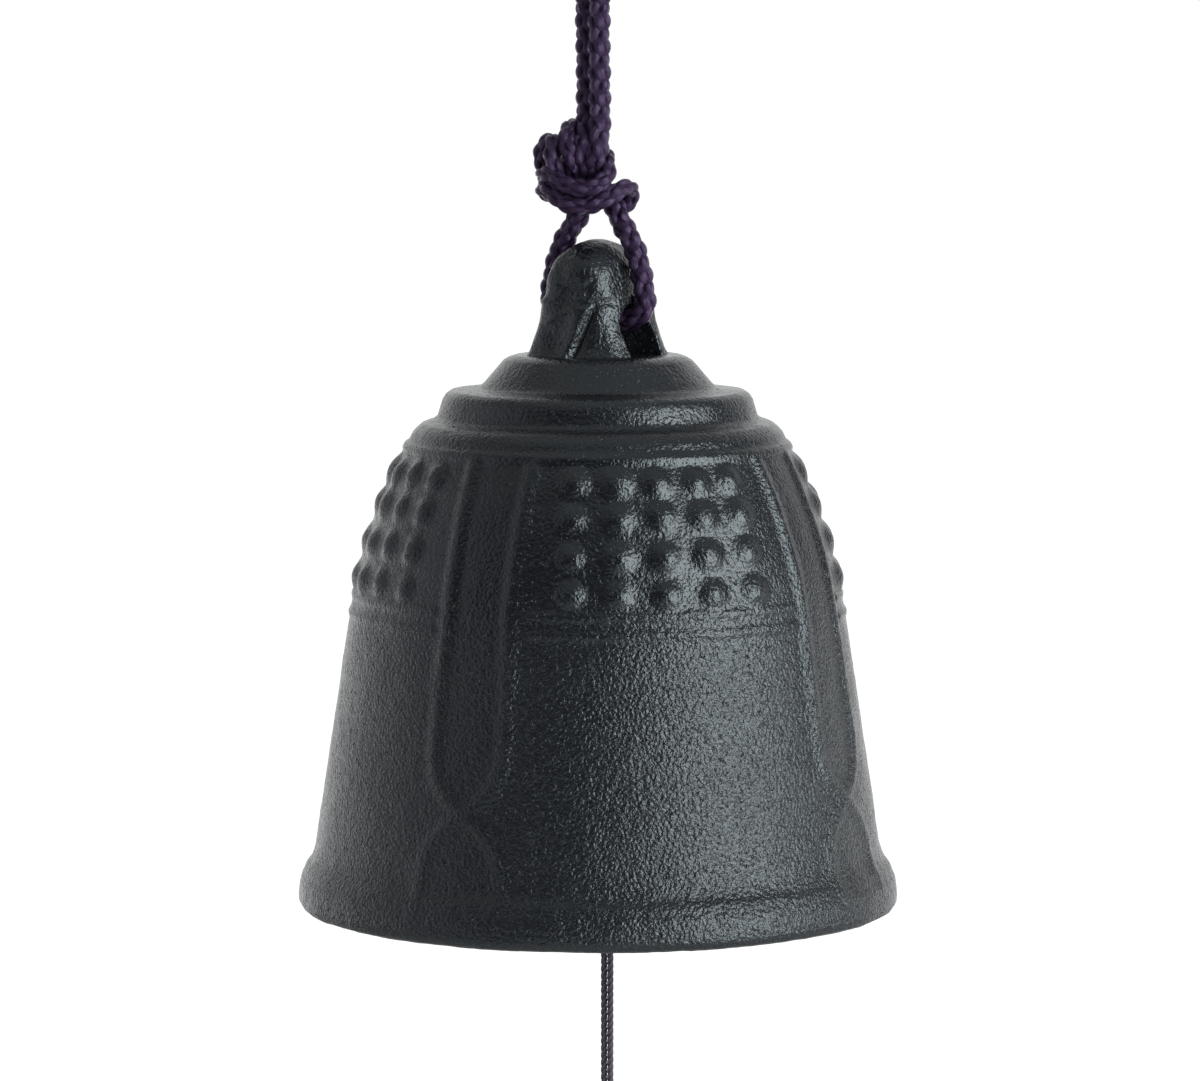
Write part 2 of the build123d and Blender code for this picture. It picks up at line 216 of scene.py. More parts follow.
def tube_mesh(name, tubes, sides):
    """One piece of closed tubes: each gives its centres, the way outwards, width and thickness."""
    spots, faces, lengths = [], [], []
    turn = np.arange(sides) * 2 * pi / sides
    for centres, outwards, width, thickness in tubes:
        ahead = unit(np.gradient(centres, axis=0))
        across = unit(np.cross(ahead, outwards))
        rise = np.cross(across, ahead)
        width = np.broadcast_to(width, len(centres))[:, None, None] * MM / 2
        thickness = np.broadcast_to(thickness, len(centres))[:, None, None] * MM / 2
        ring = centres[:, None] + width * np.cos(turn)[None, :, None] * across[:, None]
        ring = ring + thickness * np.sin(turn)[None, :, None] * rise[:, None]
        base = sum(len(s) for s in spots)
        spots.append(ring.reshape(-1, 3))
        rows = base + np.arange(len(centres) - 1)[:, None] * sides
        k = np.arange(sides)[None, :]
        beside = (k + 1) % sides
        quads = np.stack([rows + k, rows + beside, rows + sides + beside, rows + sides + k], -1)
        faces += quads.reshape(-1, 4).tolist()
        run = travelled(centres)
        u = np.stack([run[:-1], run[:-1], run[1:], run[1:]], -1)[:, None, :].repeat(sides, 1)
        v = np.stack([k, k + 1, k + 1, k], -1).repeat(len(centres) - 1, 0) / sides
        lengths.append(np.stack([u, v], -1).reshape(-1, 2))
        last = base + (len(centres) - 1) * sides
        faces.append(list(range(base + sides - 1, base - 1, -1)))
        faces.append(list(range(last, last + sides)))
        lengths.append(np.zeros((2 * sides, 2)))
    mesh = bpy.data.meshes.new(name)
    mesh.from_pydata(np.concatenate(spots), [], faces)
    mesh.polygons.foreach_set("use_smooth", np.ones(len(mesh.polygons), bool))
    grain = mesh.uv_layers.new(name="grain")
    grain.data.foreach_set("uv", np.concatenate(lengths).ravel())
    piece = bpy.data.objects.new(name, mesh)
    bpy.context.scene.collection.objects.link(piece)
    edit(piece)
    bpy.ops.mesh.select_all(action="SELECT")
    bpy.ops.mesh.normals_make_consistent(inside=False)
    bpy.ops.object.mode_set(mode="OBJECT")
    piece.select_set(False)
    return piece


def braid(line, girth=1.0):
    """The bundles of one braided cord: four wind each way, over one and under one."""
    first, second = carried_sides(line)
    run = travelled(line)
    girth = np.broadcast_to(girth, len(line))
    middle = CORD_D / 2 - BUNDLE_THICKNESS / 2 - BUNDLE_WEAVE
    crossing = 2 * pi * CARRIERS * run / BRAID_LEAD
    bundles = []
    for way in (1, -1):
        lift = way * BUNDLE_WEAVE * np.cos(crossing)
        for carrier in range(CARRIERS):
            turn = 2 * pi * (way * run / BRAID_LEAD + carrier / CARRIERS)
            turn -= BUNDLE_LINGER * np.sin(crossing) / CARRIERS
            outwards = pointing(turn, first, second)
            centres = line + outwards * ((middle + lift) * girth * MM)[:, None]
            bundles.append((centres, outwards, BUNDLE_WIDTH * girth, BUNDLE_THICKNESS * girth))
    return bundles


def twisted_thread(line):
    """The plies of one twisted thread."""
    first, second = carried_sides(line)
    run = travelled(line)
    plies = []
    for ply in range(PLIES):
        turn = 2 * pi * (run / PLY_PITCH + ply / PLIES)
        outwards = pointing(turn, first, second)
        centres = line + outwards * (THREAD_D - PLY_D) / 2 * MM
        plies.append((centres, outwards, PLY_D, PLY_D))
    return plies


def knotted_girth(count, step):
    """The cord's girth along a strand of the knot, full at both ends and thinner between."""
    run = np.arange(count) * step
    return 1 - (1 - KNOT_GIRTH) * soft_step(np.minimum(run, run[-1] - run), 0, KNOT_TAPER)


# Bands down the wall and the rows of bosses between them: degrees from the handle's front
BANDS = [-0.5, 90.5, 178.5, 269.0]
FIELDS = [44.0, 134.5, 223.7, 313.2]
BOSS_ROWS = [51.8, 48.1, 43.8, 39.5]
BOSS_TURNS = [-23.0, -11.5, 0.0, 11.5, 23.0]
BOSS_R = 2.3
BOSS_HEIGHT = 0.68
BOSS_FLATTEN = 1.05     # a boss is a little wider than it is high
BOSS_POWER = 1.6        # how steeply its side rises
BOSS_STRAY = 0.15       # how far a boss may sit off its place
BOSS_GROWTH, BOSS_SEED = (0.9, 1.06), 5
# The right-hand rib of a band, (to the right of the band's middle, height); the left one mirrors it
RIB = [
    (3.9, 53.6), (4.0, 45.0), (4.0, 37.0), (4.45, 28.0), (4.55, 21.0), (3.8, 18.2), (2.0, 16.2),
    (0, 14.8), (-2.0, 13.3), (-3.9, 11.6), (-5.0, 9.2), (-5.3, 6.9), (-5.3, 5.0),
]
RIB_HEIGHT = 0.38
RIB_EDGE = (0.1, 1.5)         # its flat middle and its foot, to each side
RIB_WORN, RIB_WORN_FADE = 0.6, (11, 16)     # share of its height that it keeps near the lip
BAND_HALF_W = 5.6
LINE_HEIGHTS = [37.2, 35.1]
LINE_RISE, LINE_EDGE = 0.22, (0.1, 0.7)
# Rings all round the wall: (height, how far it stands out, flat middle, foot)
RINGS = [(54.5, 0.32, 0.2, 0.75), (4.9, 0.12, 0.1, 0.7)]
PATTERN_FOOT, PATTERN_TOP = 2.5, 55.8
COLUMNS = 190
WALL_WAVES = [(7.0, 0.2), (1.6, 0.05)]      # (size, depth) of the uneven skin
COARSE_WAVES = (1.1, 0.09)
WEIGHT_FLOOR = 0.02           # below this share a vertex gets no coarse skin
GRAIN_FADE = (30.0, 42.0)     # heights between which the grain gets finer

# Handle
HANDLE_FOOT, HANDLE_TOP = 63.6, 78.6
# (height, half width along X, half length along Y); the last one is where the dome starts
HANDLE_SECTIONS = [
    (63.6, 7.2, 8.2), (65.0, 6.7, 7.4), (65.9, 6.3, 6.8), (66.8, 6.0, 6.6), (69.3, 5.1, 6.3),
    (71.6, 4.6, 6.15), (73.2, 4.35, 6.05),
]
HANDLE_ROWS, HANDLE_COLUMNS = 72, 160
HANDLE_FOOT_SHARE, HANDLE_SIDE_SHARE = 0.04, 0.5    # shares of the rows, counted from below
ROUND_CORNER, SHARP_CORNER = 2.9, 4.5       # powers of the section's outline
HANDLE_FLARE = 0.07     # how much wider one end of a broad side is than the other
HANDLE_HOLE_R, HANDLE_HOLE_TOP = 3.3, 71.2
HANDLE_HOLE_FOOT, HANDLE_HOLE_HALF = 62.0, 12
HANDLE_VOXEL = 0.16
HANDLE_WAVES = (2.6, 0.3)
# The fold's steep flank passes this place on the narrow face and leans by this much
FOLD_X, FOLD_Z, FOLD_LEAN = 1.7, 70.9, 0.38
FOLD_SQUARE = 0.93            # turns a level distance from the flank into a square one
FOLD_RISE, FOLD_SPREAD, FOLD_FLANK = 0.5, 1.6, 0.75
FOLD_TOP, FOLD_FOOT = 71.4, (63.6, 65.0)
GROOVE_DEPTH, GROOVE_OFF = 0.32, 0.8
# The ledge over it dips on the left and ends in a notch on the right
LEDGE_Z, LEDGE_RISE, LEDGE_CUT = 71.5, 0.25, 0.2
LEDGE_DIP, LEDGE_DIP_X, LEDGE_DIP_W = 0.5, -1.2, 1.1
LEDGE_CORNER_Z = 71.6
BROW_X, BROW_Z, BROW_W, BROW_H, BROW_RISE = 0.4, 75.4, 2.2, 2.5, 0.25
CREASE, CREASE_DEPTH = [(-1.8, 73.6), (-0.6, 73.1), (1.3, 73.0), (2.3, 74.0)], 0.14
SMALL_BUMPS, BUMP_RISE = [(1.25, 72.4), (0.5, 72.2)], 0.22
SMALL_RIDGE, RIDGE_RISE = [(-3.4, 69.1), (-1.5, 70.1), (0.6, 70.8)], 0.14
NARROW_FACE_Y = -3      # the carving stays beyond this

# Small pieces, as part.py has them
STAPLE_WIRE_D, STAPLE_BEND_R, STAPLE_TOP = 1.8, 3.5, 60.5
STAPLE_EYE = 50.4
CLAPPER_R, CLAPPER_T, CLAPPER_Z, CLAPPER_HOLE_R = 13.0, 3.0, 17.6, 1.3
CLAPPER_RIM, CLAPPER_HOLE_RIM = 1.0, 0.3    # bevels before they are rounded
# The groove in its upper face: (radius, height above the underside)
CLAPPER_DISH = [(9.0, CLAPPER_T), (7.0, 2.2), (4.5, 2.2), (3.5, CLAPPER_T)]
CLAPPER_RADII = [0.15, 0.15, 0.8, 0.8, 0.8, 0.8, 1.2, 1.2, 0.8, 0.6, 0.2]
CLAPPER_STEP, CLAPPER_COLUMNS = 0.4, 160
CLAPPER_WAVES = (2.5, 0.14)
STOP_KNOT_Z, STRIP_KNOT_Z = 15.8, -32.2
# A thread knot's path: its middle radius, how far that swings, its half height, and half the gap
# between its two threads
TURNS_R, TURNS_SWING, TURNS_RISE, TURNS_GAP = 0.62, 0.30, 0.62, 0.32
TURNS_POINTS = 73
STRIP_W, STRIP_H, STRIP_T, STRIP_TOP = 52.0, 134.0, 0.5, -36.0
STRIP_HOLE_R, STRIP_HOLE_DROP = 1.75, 6.0
STRIP_CUP, STRIP_BOW = 0.9, 0.35      # warp across the paper and along it

# Routes in millimetres above the mouth, close to part.py's, with ends that run on into the knot
HANDLE_CORD_ROUTE = [
    (1.3, 1.2, 83.6), (2.2, 0.3, 81.6), (4.9, 0, 77.9), (5.95, 0, 74.0), (6.4, 0, 70.8),
    (4.9, 0, 69.1), (-4.9, 0, 69.1), (-6.4, 0, 70.8), (-5.95, 0, 74.0), (-4.9, 0, 77.9),
    (-2.4, 0.3, 81.6), (-1.9, 1.2, 83.6),
]
LOOP_FRONT = seen([(-0.7, 85.4, 0.2), (-0.4, 87.2, 1.9), (0.0, 89.0, 2.3), (0.2, 90.9, 1.9)])
LOOP_BACK = seen([(-1.5, 90.6, 0.9), (-1.7, 88.8, 1.8), (-1.7, 87.0, 1.4), (-1.8, 85.2, -0.2)])
HANGING_LOOP_ROUTE = LOOP_FRONT + [
    (0.82, -1.0, 93.4), (0.65, -1.09, 108.0), (2.6, -1.93, 121.0), (3.98, -2.59, 131.18),
    (0, 0, 134.23), (-3.98, 2.59, 131.18), (-2.9, 1.7, 121.0), (-1.79, 0.49, 108.0),
    (-1.62, 0.58, 93.4),
] + LOOP_BACK
KNOT_FIRST = seen([
    (-0.7, 85.4, 0.2), (-1.2, 83.9, -1.6), (-2.8, 83.2, -3.0), (-4.8, 84.4, -3.6),
    (-6.2, 86.4, -3.0), (-6.7, 88.4, -1.9), (-5.9, 90.0, -1.0), (-5.0, 90.0, 0.4),
    (-5.4, 88.2, 1.3), (-4.9, 86.8, 1.7), (-3.9, 85.6, 0.6), (-3.6, 84.2, -1.6),
    (-5.2, 83.4, -2.2), (-6.6, 84.6, -0.8), (-5.6, 84.3, 1.5), (-4.4, 83.2, 2.4),
    (-3.1, 82.6, 3.0), (-1.3, 82.6, 3.3), (0.5, 83.1, 3.3), (2.1, 84.2, 2.9),
    (3.5, 84.9, 1.4), (4.0, 83.9, -0.6), (3.4, 82.3, -1.2), (1.6, 82.6, -1.6),
])
KNOT_SECOND = seen([
    (-1.8, 85.2, -0.2), (-2.2, 84.2, -2.0), (-3.2, 85.0, -4.0), (-3.9, 87.6, -4.4),
    (-3.3, 90.4, -3.2), (-2.7, 91.9, -1.2), (-3.6, 91.2, 0.6), (-3.6, 89.6, 1.6),
    (-3.0, 88.0, 2.0), (-2.8, 86.5, 1.2), (-2.9, 85.2, -0.8), (-4.4, 84.9, -2.2),
    (-6.4, 86.0, -1.0), (-6.0, 86.4, 1.2), (-4.6, 85.5, 2.6), (-3.1, 84.8, 3.5),
    (-1.3, 84.6, 3.9), (0.2, 85.0, 3.7), (1.1, 86.0, 2.8), (1.1, 87.5, 1.6),
    (0.8, 88.7, -0.2), (0.1, 88.1, -2.4), (0.4, 86.0, -3.4), (-0.6, 83.9, -2.6),
])
THREAD_FOOT = 17.1
CLAPPER_CORD_ROUTE = [
    (CORD_X + x, CORD_Y, z) for x, z in [
        (THREAD_SIDE, THREAD_FOOT), (THREAD_SIDE, 44.0), (0.95, 48.2), (1.5, 50.6), (0.8, 52.05),
        (-0.8, 52.05), (-1.5, 50.6), (-0.95, 48.2), (-THREAD_SIDE, 44.0),
        (-THREAD_SIDE, THREAD_FOOT),
    ]
]
STRIP_CORD_TOP, STRIP_CORD_FOOT = 14.0, -30.4


def make_cords():
    """The braided hanging cord, its knot, and the stretch that goes through the handle."""
    line = smooth_line("handle_route", HANDLE_CORD_ROUTE, BRAID_STEP)
    handle_cord = tube_mesh("cord_through_handle", braid(line), BUNDLE_SIDES)
    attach(handle_cord, "hanger")
    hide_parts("handle_cord")

    strands = []
    for name, route in (("first", KNOT_FIRST), ("second", KNOT_SECOND)):
        line = smooth_line(name, route, BRAID_STEP)
        strands += braid(line, knotted_girth(len(line), BRAID_STEP))
    knot = tube_mesh("tied_knot", strands, BUNDLE_SIDES)
    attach(knot, "hanger")
    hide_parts("cord_knot")

    line = smooth_line("loop_route", HANGING_LOOP_ROUTE, BRAID_STEP)
    loop = tube_mesh("loop_over_hook", braid(line), BUNDLE_SIDES)
    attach(loop, "hanger")
    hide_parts("hanging_loop")
    return handle_cord, knot, loop


def make_threads():
    """The doubled clapper cord above its stop knot, and the stretch down to the wind strip."""
    line = smooth_line("clapper_route", CLAPPER_CORD_ROUTE, THREAD_STEP)
    upper = tube_mesh("thread_over_staple", twisted_thread(line), PLY_SIDES)
    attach(upper, "clapper_line")
    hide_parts("clapper_cord")
    plies = []
    for side in (-THREAD_SIDE, THREAD_SIDE):
        ends = [(CORD_X + side, CORD_Y, STRIP_CORD_TOP), (CORD_X + side, CORD_Y, STRIP_CORD_FOOT)]
        points = np.linspace(*placed(ends), round((STRIP_CORD_TOP - STRIP_CORD_FOOT) / THREAD_STEP))
        plies += twisted_thread(points)
    lower = tube_mesh("thread_to_strip", plies, PLY_SIDES)
    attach(lower, "strip_line")
    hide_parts("strip_cord")
    return upper, lower


def rounded(corners, radii):
    """A polyline through the corners, with each inner corner rounded to its radius."""
    points = [Vector(corners[0])]
    for before, corner, after, radius in zip(corners, corners[1:], corners[2:], radii):
        before, corner, after = Vector(before), Vector(corner), Vector(after)
        back, on = (before - corner).normalized(), (after - corner).normalized()
        half = back.angle(on) / 2
        reach = radius / tan(half)
        centre = corner + (back + on).normalized() * radius / sin(half)
        start, end = corner + back * reach - centre, corner + on * reach - centre
        swept = start.angle_signed(end)
        steps = max(3, ceil(abs(swept) * radius / ROUND_STEP))
        for k in range(steps + 1):
            turn = swept * k / steps
            spot = Vector((
                start.x * cos(turn) + start.y * sin(turn), start.y * cos(turn) - start.x * sin(turn),
            ))
            points.append(centre + spot)
    return points + [Vector(corners[-1])]


def spaced(points, step):
    """The same line with its points about one step apart."""
    line = np.array([tuple(p) for p in points])
    return evenly(line, ceil(distances(line)[-1] / step) + 1)


def off_line(u, z, line):
    """Distance of each point from a line of straight runs."""
    best = np.full(len(u), np.inf)
    spots = np.stack([u, z], axis=1)
    for start, end in zip(line, line[1:]):
        start, run = np.array(start), np.subtract(end, start)
        share = np.clip((spots - start) @ run / (run @ run), 0, 1)
        best = np.minimum(best, np.linalg.norm(spots - start - share[:, None] * run, axis=1))
    return best


def way_round(turn, radius):
    """How far round the wall a turn in degrees reaches, in millimetres, to either side of 0."""
    return np.radians((turn + 180) % 360 - 180) * radius


def wall_relief(turn, radius, z):
    """How far the cast pattern stands out of the wall, in millimetres."""
    height = np.zeros(len(z))
    inside_band = np.zeros(len(z), bool)
    for band in BANDS:
        u = way_round(turn - band, radius)
        worn = RIB_HEIGHT * (RIB_WORN + (1 - RIB_WORN) * soft_step(z, *RIB_WORN_FADE))
        for side in (1, -1):
            height = np.maximum(height, worn * near(off_line(side * u, z, RIB), *RIB_EDGE))
        inside_band |= np.abs(u) < BAND_HALF_W
    for line in LINE_HEIGHTS:
        low = LINE_RISE * near(np.abs(z - line), *LINE_EDGE) * ~inside_band
        height = np.maximum(height, low)
    for ring, rise, core, edge in RINGS:
        height = np.maximum(height, rise * near(np.abs(z - ring), core, edge))
    # Bosses differ a little in size and place, as hand-pressed ones do
    chance = np.random.default_rng(BOSS_SEED)
    for field in FIELDS:
        for step in BOSS_TURNS:
            for row in BOSS_ROWS:
                aside = chance.uniform(-BOSS_STRAY, BOSS_STRAY)
                up = chance.uniform(-BOSS_STRAY, BOSS_STRAY)
                grown = chance.uniform(*BOSS_GROWTH)
                u = way_round(turn - field - step, radius) - aside
                off = np.hypot(u, (z - row - up) * BOSS_FLATTEN) / (BOSS_R * grown)
                dome = (1 - np.clip(off, 0, 1) ** 2) ** BOSS_POWER
                height = np.maximum(height, BOSS_HEIGHT * grown * dome)
    return height


def ring_of(points, name, filled="NOTHING"):
    """A closed ring of vertices, set on the given points in metres, open in edit mode."""
    bpy.ops.mesh.primitive_circle_add(vertices=len(points), fill_type=filled)
    piece = bpy.context.object
    piece.name = name
    for vertex, spot in zip(piece.data.vertices, points):
        vertex.co = spot
    edit(piece)
    return piece


def applied(piece, kind, **settings):
    """One modifier, set and applied."""
    edit(piece)
    bpy.ops.object.mode_set(mode="OBJECT")
    modifier = piece.modifiers.new(kind.lower(), kind)
    for key, value in settings.items():
        setattr(modifier, key, value)
    bpy.ops.object.modifier_apply(modifier=modifier.name)


def tidied(piece):
    """Doubled vertices merged and the faces turned outwards."""
    edit(piece)
    bpy.ops.mesh.select_all(action="SELECT")
    bpy.ops.mesh.remove_doubles(threshold=DOUBLES)
    bpy.ops.mesh.normals_make_consistent(inside=False)
    bpy.ops.object.mode_set(mode="OBJECT")
    bpy.ops.object.shade_smooth()
    piece.select_set(False)


def casting_waves(piece, waves, group=""):
    """The uneven skin of a sand casting, as a clouds texture of a (size, depth) on the mesh."""
    size, depth = waves
    clouds = bpy.data.textures.new("casting_clouds", "CLOUDS")
    clouds.noise_scale = size * MM
    clouds.noise_depth = 1
    applied(
        piece, "DISPLACE", texture=clouds, texture_coords="LOCAL", strength=depth * MM,
        mid_level=0.5, vertex_group=group,
    )


def make_bell():
    """The cast bell: its profile spun round the axis, then the pattern raised from the wall."""
    outside = spaced(rounded(WALL_CORNERS, WALL_RADII), OUTSIDE_STEP)
    hollow = spaced(rounded(HOLLOW_CORNERS, HOLLOW_RADII), HOLLOW_STEP)
    profile = np.concatenate([outside, hollow[1:]])
    points = placed([(r, 0, z) for r, z in profile])
    bell = ring_of(points, "bell_wall")
    # The ring's last edge, up the axis, goes
    last = len(points) - 1
    bpy.ops.mesh.select_all(action="DESELECT")
    bpy.ops.object.mode_set(mode="OBJECT")
    for edge in bell.data.edges:
        edge.select = set(edge.vertices) == {0, last}
    edit(bell)
    bpy.ops.mesh.select_mode(type="EDGE")
    bpy.ops.mesh.delete(type="EDGE_FACE")
    bpy.ops.mesh.select_mode(type="VERT")
    bpy.ops.mesh.select_all(action="SELECT")
    bpy.ops.mesh.spin(steps=COLUMNS, angle=2 * pi, center=(0, 0, 0), axis=(0, 0, 1))
    bpy.ops.object.mode_set(mode="OBJECT")
    tidied(bell)

    # A finer net on the outside, where the pattern stands
    _, radius, z = round_the_axis(rows_of(bell.data.polygons, "center"))
    edit(bell)
    bpy.ops.mesh.select_mode(type="FACE")
    bpy.ops.mesh.select_all(action="DESELECT")
    bpy.ops.object.mode_set(mode="OBJECT")
    bell.data.polygons.foreach_set("select", on_the_outside(radius, z))
    edit(bell)
    bpy.ops.mesh.subdivide(number_cuts=1)
    bpy.ops.object.mode_set(mode="OBJECT")

    spots = rows_of(bell.data.vertices, "co")
    turn, radius, z = round_the_axis(spots)
    on_wall = on_the_outside(radius, z) & (z > PATTERN_FOOT) & (z < PATTERN_TOP)
    raised = wall_relief(turn, radius, z) * on_wall
    spots += rows_of(bell.data.vertices, "normal") * raised[:, None] * MM
    bell.data.vertices.foreach_set("co", spots.ravel())
    for waves in WALL_WAVES:
        casting_waves(bell, waves)
    # The skin is roughest low down, where the sand was coarser
    coarse = bell.vertex_groups.new(name="coarse_skin")
    weights = near(z, *GRAIN_FADE)
    for k in np.flatnonzero(weights > WEIGHT_FLOOR):
        coarse.add([int(k)], float(weights[k]), "REPLACE")
    casting_waves(bell, COARSE_WAVES, "coarse_skin")
    return bell


def round_the_axis(spots):
    """Turn in degrees from the handle's front, radius and height in millimetres."""
    x, y, z = (spots / MM).T
    return np.degrees(np.arctan2(x, -y)), np.hypot(x, y), z - HANG


def on_the_outside(radius, z):
    """True on the bell's outer skin, which is further out than the middle of its wall."""
    middle_r, middle_z = zip(*WALL_MIDDLE)
    return radius > np.interp(z, middle_z, middle_r)


def slab(name, outline, at, half):
    """An outline in millimetres above the mouth, pushed out by half to each side of itself."""
    piece = ring_of(placed(outline), name, "NGON")
    bpy.ops.mesh.select_all(action="SELECT")
    bpy.ops.transform.translate(value=[-half * MM * k for k in at])
    bpy.ops.mesh.extrude_region_move(
        TRANSFORM_OT_translate={"value": [2 * half * MM * k for k in at]}
    )
    bpy.ops.mesh.select_all(action="SELECT")
    bpy.ops.mesh.normals_make_consistent(inside=False)
    bpy.ops.object.mode_set(mode="OBJECT")
    return piece


def handle_blank():
    """The arch before its hole: a column that narrows upwards and ends in a low dome."""
    bpy.ops.mesh.primitive_grid_add(x_subdivisions=HANDLE_COLUMNS, y_subdivisions=HANDLE_ROWS)
    blank = bpy.context.object
    blank.name = "handle_arch"
    spots = rows_of(blank.data.vertices, "co")
    turn, up = (spots[:, 0] + 1) * pi, (spots[:, 1] + 1) / 2
    # The lowest rows close the foot, the next ones are the sides, and the upper half is the dome
    dome_z = HANDLE_SECTIONS[-1][0]
    z = np.interp(
        up, [0, HANDLE_FOOT_SHARE, HANDLE_SIDE_SHARE], [HANDLE_FOOT, HANDLE_FOOT, dome_z]
    )
    swept = np.clip((up - HANDLE_SIDE_SHARE) * pi, 0, pi / 2)
    z += (HANDLE_TOP - dome_z) * np.sin(swept)
    heights, widths, lengths = np.array(HANDLE_SECTIONS).T
    shrunk = np.cos(swept) * np.clip(up / HANDLE_FOOT_SHARE, 0, 1)
    # Two of the four corners are nearly round, and the two across from them are sharper
    side, along = np.sin(turn), np.cos(turn)
    power = np.where(side * along < 0, ROUND_CORNER, SHARP_CORNER)
    grown = (np.abs(side) ** power + np.abs(along) ** power) ** (-1 / power)
    y = along * grown
    x = side * grown * (1 + HANDLE_FLARE * y * np.sign(side))
    spots[:, 0] = x * np.interp(z, heights, widths) * shrunk
    spots[:, 1] = y * np.interp(z, heights, lengths) * shrunk
    spots[:, 2] = z
    blank.data.vertices.foreach_set("co", placed(spots).ravel())
    tidied(blank)
    return blank


def handle_relief(x, y, z, facing):
    """How far the carving of one narrow face stands out, in millimetres, from the photo."""
    # A fold that runs down the face, with a steep right flank and a groove beside it
    aside = (x - FOLD_X - (z - FOLD_Z) * FOLD_LEAN) * FOLD_SQUARE
    fold = FOLD_RISE * np.exp(-np.clip(-aside, 0, None) ** 2 / FOLD_SPREAD)
    fold *= near(aside, 0, FOLD_FLANK)
    fold -= GROOVE_DEPTH * near(np.abs(aside - GROOVE_OFF), 0.05, 0.5)
    move = facing * fold * soft_step(FOLD_TOP - z, 0, 0.9) * soft_step(z, *FOLD_FOOT)
    # The upper part of the face overhangs the lower one along a wavy ledge
    ledge = LEDGE_Z - LEDGE_DIP * np.exp(-((x - LEDGE_DIP_X) / LEDGE_DIP_W) ** 2)
    shelf = near(z - ledge, -0.15, 0.35) * soft_step(z, 68.0, 71.0)
    move += facing * LEDGE_RISE * shelf * near(x, 0.2, 1.6)
    move -= facing * LEDGE_CUT * near(np.abs(z - LEDGE_Z), 0, 0.8) * soft_step(x, 1.0, 2.6)
    # A brow above it, a crease, two small bumps and a short ridge
    brow = np.hypot((x - BROW_X) / BROW_W, (z - BROW_Z) / BROW_H)
    move += facing * BROW_RISE * near(brow, 0.3, 1.1)
    move -= facing * CREASE_DEPTH * near(off_line(x, z, CREASE), 0.05, 0.4)
    for bump_x, bump_z in SMALL_BUMPS:
        move += facing * BUMP_RISE * near(np.hypot(x - bump_x, z - bump_z), 0.1, 0.5)
    move += facing * RIDGE_RISE * near(off_line(x, z, SMALL_RIDGE), 0.05, 0.45)
    # The ledge goes on round the corner, on the left
    corner = soft_step(-x, 3.2, 4.2) * (y < 0)
    return move + LEDGE_RISE * near(np.abs(z - LEDGE_CORNER_Z), 0.1, 0.8) * corner


def make_handle():
    """The cast handle: a tapered arch, then the folds on its two narrow faces raised."""
    arch = handle_blank()
    spring = HANDLE_HOLE_TOP - HANDLE_HOLE_R
    gap = [
        (0, HANDLE_HOLE_R * cos(t), spring + HANDLE_HOLE_R * sin(t))
        for t in np.linspace(0, pi, ARC_POINTS)
    ]
    gap += [(0, -HANDLE_HOLE_R, HANDLE_HOLE_FOOT), (0, HANDLE_HOLE_R, HANDLE_HOLE_FOOT)]
    hole = slab("hole", gap, (1, 0, 0), HANDLE_HOLE_HALF)
    applied(arch, "BOOLEAN", operation="DIFFERENCE", object=hole, solver="EXACT")
    bpy.data.objects.remove(hole)
    applied(arch, "REMESH", mode="VOXEL", voxel_size=HANDLE_VOXEL * MM)
    applied(arch, "SMOOTH", factor=0.5, iterations=16)

    spots = rows_of(arch.data.vertices, "co")
    normals = rows_of(arch.data.vertices, "normal")
    x, y, z = (spots / MM).T
    move = np.zeros(len(spots))
    for face in (1, -1):
        facing = soft_step(-normals[:, 1] * face, 0.1, 0.5) * (y * face < NARROW_FACE_Y)
        move += handle_relief(x * face, y * face, z - HANG, facing)
    spots += normals * move[:, None] * MM
    arch.data.vertices.foreach_set("co", spots.ravel())
    casting_waves(arch, HANDLE_WAVES)
    applied(arch, "SMOOTH", factor=0.4, iterations=2)
    tidied(arch)
    return arch


def turned(name, section, centre, steps):
    """A section (radius, height) closed and spun round an upright axis."""
    x, y = centre
    piece = ring_of(placed([(x + r, y, z) for r, z in section]), name)
    bpy.ops.mesh.select_all(action="SELECT")
    bpy.ops.mesh.spin(
        steps=steps, angle=2 * pi, center=placed([(x, y, 0)])[0], axis=(0, 0, 1)
    )
    bpy.ops.object.mode_set(mode="OBJECT")
    tidied(piece)
    return piece


def make_clapper():
    """The cast iron disc that the cord goes through."""
    low, high = CLAPPER_Z, CLAPPER_Z + CLAPPER_T
    rim, hole = CLAPPER_RIM, CLAPPER_HOLE_R + CLAPPER_HOLE_RIM
    section = [
        (CLAPPER_HOLE_R, low + CLAPPER_HOLE_RIM), (hole, low), (CLAPPER_R - rim, low),
        (CLAPPER_R, low + rim), (CLAPPER_R, high - rim), (CLAPPER_R - rim, high),
        *[(radius, low + rise) for radius, rise in CLAPPER_DISH],
        (hole, high), (CLAPPER_HOLE_R, high - CLAPPER_HOLE_RIM),
    ]
    outline = spaced(rounded(section + [section[0]], CLAPPER_RADII), CLAPPER_STEP)
    clapper = turned("clapper_disc", outline[:-1], (CORD_X, CORD_Y), CLAPPER_COLUMNS)
    casting_waves(clapper, CLAPPER_WAVES)
    return clapper


